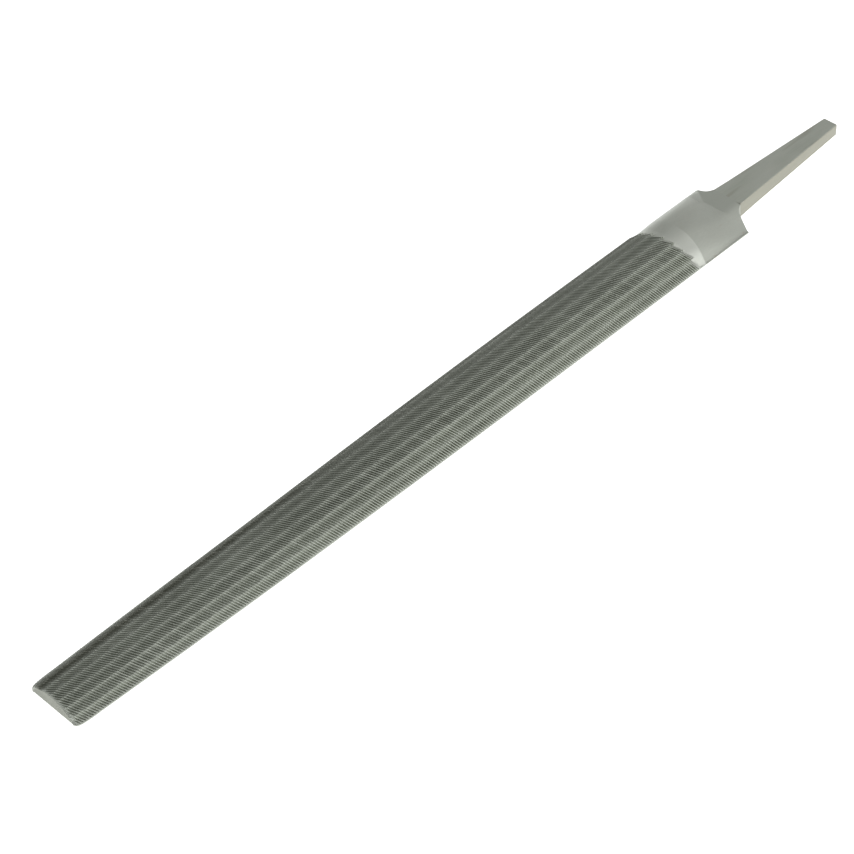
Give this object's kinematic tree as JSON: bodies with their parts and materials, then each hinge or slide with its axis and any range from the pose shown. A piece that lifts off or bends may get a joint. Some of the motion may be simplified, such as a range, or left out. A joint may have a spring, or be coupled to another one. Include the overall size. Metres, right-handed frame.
{
  "type": "half-round file",
  "caption": "Half-round metalworking file with oblique teeth in lengthwise courses on the round face, a bare heel and a tapered rectangular tang for a handle.",
  "frame": {"origin": "centre of the bounding box in plan, on the plane of the flat face: on the long axis, halfway between the point and the end of the tang", "axes": "+X along the file from the point to the tang, +Y across it, +Z out of the round face; the flat face lies on z = 0"},
  "size_m": [0.301, 0.0236, 0.009],
  "materials": {
    "cut_steel": "hardened steel, chisel-cut teeth, dark grey with a green cast",
    "bare_steel": "ground bare steel, satin",
    "tang_steel": "forged and ground steel, dull, faintly stained"
  },
  "bodies": {
    "root": {"toothed_blade": "cut_steel", "heel": "bare_steel", "tang": "tang_steel"}
  },
  "joints": []
}
